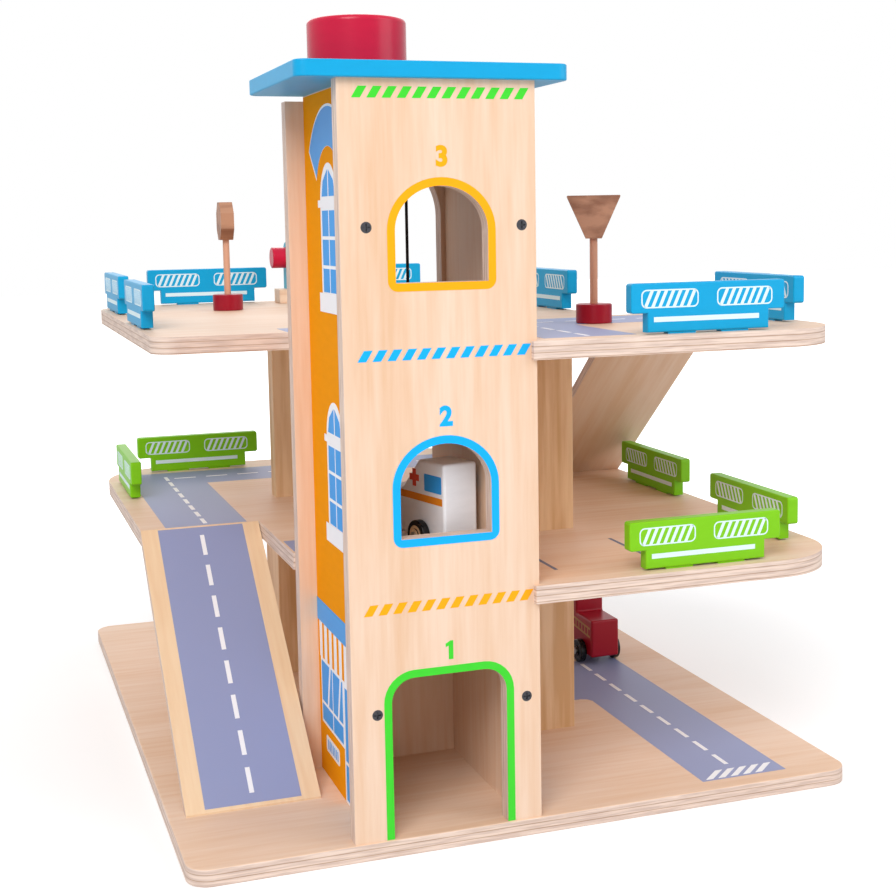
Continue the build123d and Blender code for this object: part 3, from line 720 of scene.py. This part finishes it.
def grown(loop, by):
    """A loop scaled about its middle so that it grows by about that much on each side."""
    us, vs = [p[0] for p in loop], [p[1] for p in loop]
    cu, cv = (min(us) + max(us)) / 2, (min(vs) + max(vs)) / 2
    ku, kv = 1 + 2 * by / (max(us) - min(us)), 1 + 2 * by / (max(vs) - min(vs))
    return [(cu + (u - cu) * ku, cv + (v - cv) * kv) for u, v in loop]


def arched_window(mid, bar):
    """Outline, blue panes, and cross bar and sill of an arched window, its bar at a height."""
    outline = arch_loop(mid, bar - 47.0, 34, 47.0, 20)
    bars = [box_loop(mid - 21.5, mid + 21.5, bar - 2.6, bar + 1.2),
            box_loop(mid - 22.5, mid + 22.5, bar - 57, bar - 47)]
    panes = [[(mid + side * 1.0, bar + 3), (mid + side * 13.6, bar + 3),
              (mid + side * 10.6, bar + 11), (mid + side * 1.0, bar + 16.6)]
             for side in (-1, 1)]
    for top, bottom in ((-4.2, -17.4), (-19.2, -32.4), (-34.2, -46.4)):
        panes += [box_loop(mid - 13.8, mid - 0.9, bar + bottom, bar + top),
                  box_loop(mid + 0.9, mid + 13.8, bar + bottom, bar + top)]
    return outline, panes, bars


class GARAGE_OT_tower_sides(bpy.types.Operator):
    """House front artwork on the two sides of the tower"""
    bl_idname = "garage.tower_sides"
    bl_label = "Tower side prints"

    def execute(self, context):
        film = sizes().ink_film
        mid = (PANEL_FRONT + PANEL_BACK) / 2
        white, blue, deep, trims = [], [], [], []
        banner = sector(mid, 322.0, 25.0, 44.8, 32, 22)
        white.append(grown(banner, 1.3))
        blue.append(banner)
        for bar in (318.5, 195.0):
            outline, panes, bars = arched_window(mid, bar)
            white.append(outline)
            deep += panes
            trims += bars
        blue.append(box_loop(PANEL_FRONT, PANEL_BACK, 87.5, 100.0))
        for i in range(9):
            white.append(box_loop(15.0 + 10.6 * i, 20.6 + 10.6 * i, 67.0, 87.5))
        white.append(box_loop(55.0, 104.0, 29.5, 67.0))
        for u0, u1 in ((57.0, 77.6), (79.4, 102.2)):
            deep.append(box_loop(u0, u1, 31.2, 40.6))
            deep += [[(u0, 42.4), (u0 + 8.2, 42.4), (u0 + 2.4, 65.4), (u0, 65.4)],
                     [(u0 + 11.6, 42.4), (u1, 42.4), (u1, 65.4), (u0 + 5.8, 65.4)]]
        white.append(round_loop(67.0, 96.0, 15.0, 24.2, 2.0))
        deep += [box_loop(70.0 + 3.4 * i, 71.6 + 3.4 * i, 16.8, 22.4) for i in range(7)]
        white.append(box_loop(14.0, 55.0, 0.6, 67.0))
        deep += [box_loop(17.0, 34.0, 24.0, 64.0), box_loop(36.0, 52.4, 24.0, 64.0),
                 box_loop(17.0, 34.0, 2.4, 22.0), box_loop(36.0, 52.4, 2.4, 22.0)]
        for side, face in (("Left", LEFT_SIDE), ("Right", RIGHT_SIDE)):
            print_on(side + " side colour", face,
                     [box_loop(PANEL_FRONT, PANEL_BACK, 0.4, PANEL_TOP)], "orange paint")
            for name, loops, finish, step in (("white", white, "white ink", 1),
                                              ("blue", blue, "banner ink", 2),
                                              ("panes", deep, "pane ink", 2),
                                              ("trims", trims, "white ink", 3)):
                meshes = [ink_mesh(name, [loop], face, step * film) for loop in loops]
                joined(side + " side " + name, meshes, "garage", finish)
        return {"FINISHED"}


class GARAGE_OT_railings(bpy.types.Operator):
    """Hatched panels and lines on both faces of the railings"""
    bl_idname = "garage.railings"
    bl_label = "Railing prints"

    def execute(self, context):
        for node in sorted(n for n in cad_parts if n.startswith(("blue_f", "green_f"))):
            low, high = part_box(node)
            along_x = high[0] - low[0] > high[1] - low[1]
            bottom = high[2] - RAILING_PRINT_DROP
            meshes = []
            for front in (True, False):
                meshes += railing_print(low, high, along_x, front, bottom)
            joined(node.replace("_", " ").capitalize() + " print", meshes, "garage",
                   "railing ink")
        return {"FINISHED"}


def railing_print(low, high, along_x, front, bottom):
    """The two hatched panels and the line on one face of a railing, as meshes."""
    start = (Vector((low[0], low[1] if front else high[1], bottom)) if along_x else
             Vector((low[0] if front else high[0], low[1], bottom)))
    origin = (start - TOWER_CORNER) * MM
    out = (0, -1 if front else 1, 0) if along_x else (-1 if front else 1, 0, 0)
    face = Face(origin, (1, 0, 0) if along_x else (0, 1, 0), (0, 0, 1), out)
    meshes = []
    for left in (5.6, 49.4):
        meshes.append(ink_mesh("Outline", [round_loop(left, left + 33.0, 13.6, 23.2, 3.0),
                                           round_loop(left + 0.7, left + 32.3, 14.3, 22.5, 2.4)],
                               face))
        for i in range(7):
            u = left + 1.5 + i * 4.1
            meshes.append(ink_mesh("Bar", [[(u, 14.3), (u + 1.9, 14.3), (u + 5.6, 22.5),
                                            (u + 3.7, 22.5)]], face))
    meshes.append(ink_mesh("Line", [box_loop(12.8, 74.4, 6.4, 9.0)], face))
    return meshes


def car_sides(at, turn):
    """The left and right faces of a vehicle; u runs to its front and v up."""
    basis = Matrix.Rotation(radians(turn), 3, "Z")
    across, ahead = basis @ Vector((1, 0, 0)), basis @ Vector((0, 1, 0))
    left = Face(Vector(at), ahead, (0, 0, 1), -across)
    right = Face(Vector(at) + across * CAR_WIDTH, ahead, (0, 0, 1), across)
    return left, right


def ring_loops(u, v, outer, inner, steps=32):
    """A flat ring as an outer and an inner loop."""
    return [[(u + r * cos(2 * pi * i / steps), v + r * sin(2 * pi * i / steps))
             for i in range(steps)] for r in (outer, inner)]


class GARAGE_OT_vehicles(bpy.types.Operator):
    """Windows, stripes and wheel hubs of the two vehicles"""
    bl_idname = "garage.vehicles"
    bl_label = "Vehicles"

    def execute(self, context):
        plus = [(-1.7, -4.6), (1.7, -4.6), (1.7, -1.7), (4.6, -1.7), (4.6, 1.7), (1.7, 1.7),
                (1.7, 4.6), (-1.7, 4.6), (-1.7, 1.7), (-4.6, 1.7), (-4.6, -1.7), (-1.7, -1.7)]
        sides = car_sides(AMBULANCE_AT, AMBULANCE_TURN)
        for side, face in zip(("left", "right"), sides):
            print_on("Ambulance window " + side, face, [round_loop(2.2, 18.4, 31.6, 40.6, 0.8)],
                     "pane ink", "ambulance")
            print_on("Ambulance stripe " + side, face, [box_loop(1.7, 64.0, 25.6, 29.4)],
                     "orange ink", "ambulance")
            print_on("Ambulance plus " + side, face, [[(28.0 + u, 37.4 + v) for u, v in plus]],
                     "emblem ink", "ambulance")
            height = WHEEL_LOW + WHEEL_RADIUS
            for end, along in AMBULANCE_AXLES.items():
                for part, radii, out in (("ring", (5.3, 3.7), WHEEL_FLAT),
                                         ("cap", (3.5, 1.4), WHEEL_HUB)):
                    mesh = ink_mesh(part, ring_loops(along, height, *radii), face, out / MM,
                                    HUB_FILM)
                    finished("Ambulance %s hub %s %s" % (end, part, side), mesh,
                             "ambulance_" + end, "hub wood")
        left, right = car_sides(TRUCK_AT, 0.0)
        for side, face in (("left", left), ("right", right)):
            rails = [[(3.0, v), (52.0, v + 3.6), (52.0, v + 5.0), (3.0, v + 1.4)]
                     for v in (19.6, 25.4)]
            rungs = [[(u, 20.6 + 0.0735 * u), (u + 1.3, 20.7 + 0.0735 * u),
                      (u + 1.3, 25.6 + 0.0735 * u), (u, 25.5 + 0.0735 * u)]
                     for u in range(6, 52, 5)]
            joined("Truck ladder " + side, [ink_mesh("Ladder", [loop], face)
                                            for loop in rails + rungs], "truck", "ladder ink")
        return {"FINISHED"}


class GARAGE_OT_cord(bpy.types.Operator):
    """The hanging cord from the tower down to the lift, built as a round mesh in place of the CAD
    cord
    """
    bl_idname = "garage.cord"
    bl_label = "Hanging cord"

    def execute(self, context):
        low, high = (Vector(corner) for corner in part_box("lift_cord"))
        middle, radius = (low + high) / 2, (high.x - low.x) / 2
        turns = [2 * pi * i / CORD_SIDES for i in range(CORD_SIDES)]
        points = [(middle.x + radius * cos(a), middle.y + radius * sin(a), z)
                  for z in (low.z, high.z) for a in turns]
        sides = [(i, (i + 1) % CORD_SIDES, (i + 1) % CORD_SIDES + CORD_SIDES, i + CORD_SIDES)
                 for i in range(CORD_SIDES)]
        ends = [tuple(reversed(range(CORD_SIDES))), tuple(range(CORD_SIDES, 2 * CORD_SIDES))]
        mesh = bpy.data.meshes.new("Hanging cord")
        mesh.from_pydata(points, [], sides + ends)
        mesh.polygons.foreach_set("use_smooth", [True] * len(sides) + [False] * len(ends))
        mesh.materials.append(material("cord"))
        cord = linked("hanging_cord", mesh)
        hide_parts("lift_cord")
        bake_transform(cord)
        return {"FINISHED"}


CAMERA_AT = (-0.27683, -0.90338, 0.31786)
CAMERA_TURN = (-0.1224, 0.0164, -0.3330)      # pitch, roll and yaw in radians
CAMERA_LENS = 58.68
CAMERA_SHIFT = (-0.0125, -0.0551)
FLOOR_REACH = 6.0
# Painted glow of the floor, seen only by the camera: its strength runs from GLOW_NEAR to GLOW_FAR
# between these distances
GLOW_FROM, GLOW_TO = 0.25, 0.95               # metres from the middle of the floor
GLOW_NEAR, GLOW_FAR = 0.24, 0.9
LAMPS = (("Key light", (-1.1, -1.7, 1.7), 1.4, 34.0),
         ("Fill light", (1.6, -1.3, 1.1), 1.6, 14.0),
         ("Back light", (0.3, 1.9, 1.5), 1.5, 10.0))
LAMP_AIM = (0, 0, 0.18)


class GARAGE_OT_stage(bpy.types.Operator):
    """Floor, light and camera"""
    bl_idname = "garage.stage"
    bl_label = "Stage"

    def execute(self, context):
        scene = context.scene
        pitch, roll, yaw = CAMERA_TURN
        turn = (Matrix.Rotation(yaw, 3, "Z") @ Matrix.Rotation(pitch, 3, "X")
                @ Matrix.Rotation(roll, 3, "Y"))
        right, ahead, up = turn.col[0], turn.col[1], turn.col[2]
        pose = Matrix((right, up, -ahead)).transposed().to_4x4()
        pose.translation = CAMERA_AT
        lens = bpy.data.cameras.new("Camera")
        lens.sensor_width, lens.lens = 36.0, CAMERA_LENS
        lens.shift_x, lens.shift_y = CAMERA_SHIFT
        lens.clip_start, lens.clip_end = 0.01, 100.0
        camera = linked("Camera", lens)
        camera.matrix_world = pose
        scene.camera = camera

        floor_mesh = bpy.data.meshes.new("Floor")
        floor_mesh.from_pydata([(x * FLOOR_REACH, y * FLOOR_REACH, 0) for x, y in
                                ((-1, -1), (1, -1), (1, 1), (-1, 1))], [], [(0, 1, 2, 3)])
        floor = linked("Floor", floor_mesh)
        # The floor glows for camera rays only. This is painted light, weak near the middle where
        # the object's real shadow stays, and strong further out so the far floor renders pure
        # white.
        pale, tree, shader = new_material("Matt white floor with painted glow", 0.9)
        shader.inputs["Base Color"].default_value = (0.86, 0.86, 0.87, 1)
        shader.inputs["Specular IOR Level"].default_value = 0.1
        shader.inputs["Emission Color"].default_value = (1, 1, 1, 1)
        path = add_node(tree, "ShaderNodeLightPath")
        where = add_node(tree, "ShaderNodeTexCoord").outputs["Object"]
        reach_out = add_node(tree, "ShaderNodeVectorMath", {"operation": "LENGTH"},
                             i0=where).outputs["Value"]
        far = add_node(tree, "ShaderNodeMapRange", {"interpolation_type": "SMOOTHSTEP"},
                       Value=reach_out, i1=GLOW_FROM, i2=GLOW_TO, i3=GLOW_NEAR,
                       i4=GLOW_FAR).outputs[0]
        glow = add_node(tree, "ShaderNodeMath", {"operation": "MULTIPLY"},
                        i0=path.outputs["Is Camera Ray"], i1=far).outputs[0]
        tree.links.new(glow, shader.inputs["Emission Strength"])
        floor_mesh.materials.append(pale)

        world = bpy.data.worlds.new("Studio")
        scene.world = world
        world.use_nodes = True
        tree = world.node_tree
        ground = tree.nodes["Background"]
        path = add_node(tree, "ShaderNodeLightPath")
        seen = add_node(tree, "ShaderNodeMath", {"operation": "MAXIMUM"},
                        i0=path.outputs["Is Camera Ray"],
                        i1=path.outputs["Is Glossy Ray"]).outputs[0]
        power = add_node(tree, "ShaderNodeMapRange", Value=seen, i3=0.55, i4=1.0).outputs[0]
        ground.inputs["Color"].default_value = (1, 1, 1, 1)
        tree.links.new(power, ground.inputs["Strength"])

        for name, spot, size, watts in LAMPS:
            lamp = bpy.data.lights.new(name, "AREA")
            lamp.shape, lamp.size, lamp.energy = "DISK", size, watts
            holder = linked(name, lamp)
            aim = Vector(LAMP_AIM) - Vector(spot)
            holder.matrix_world = (Matrix.Translation(spot)
                                   @ aim.to_track_quat("-Z", "Y").to_matrix().to_4x4())
        scene.view_settings.view_transform = "Standard"
        return {"FINISHED"}


class GARAGE_PT_panel(bpy.types.Panel):
    """Shows the print sizes and colours, and a button for each finishing step"""
    bl_idname = "GARAGE_PT_panel"
    bl_label = "Toy parking garage"
    bl_space_type = "VIEW_3D"
    bl_region_type = "UI"
    bl_category = "Garage"

    def draw(self, context):
        layout = self.layout
        for group in (sizes(), colours()):
            for key in group.bl_rna.properties.keys():
                if key not in ("rna_type", "name"):
                    layout.prop(group, key)
        for operator in OPERATORS:
            layout.operator(operator.bl_idname)


OPERATORS = (GARAGE_OT_boards, GARAGE_OT_roads, GARAGE_OT_tower_front, GARAGE_OT_tower_sides,
             GARAGE_OT_railings, GARAGE_OT_vehicles, GARAGE_OT_cord, GARAGE_OT_stage)
CLASSES = (GaragePrintSizes, GarageColours) + OPERATORS + (GARAGE_PT_panel,)


def register():
    for made in CLASSES:
        bpy.utils.register_class(made)
    bpy.types.Scene.garage_print_sizes = bpy.props.PointerProperty(type=GaragePrintSizes)
    bpy.types.Scene.garage_colours = bpy.props.PointerProperty(type=GarageColours)


def unregister():
    del bpy.types.Scene.garage_print_sizes
    del bpy.types.Scene.garage_colours
    for made in reversed(CLASSES):
        bpy.utils.unregister_class(made)


def main():
    register()
    for operator in OPERATORS:
        name = operator.bl_idname.split(".")[1]
        getattr(bpy.ops.garage, name)()


if __name__ == "__main__":
    main()
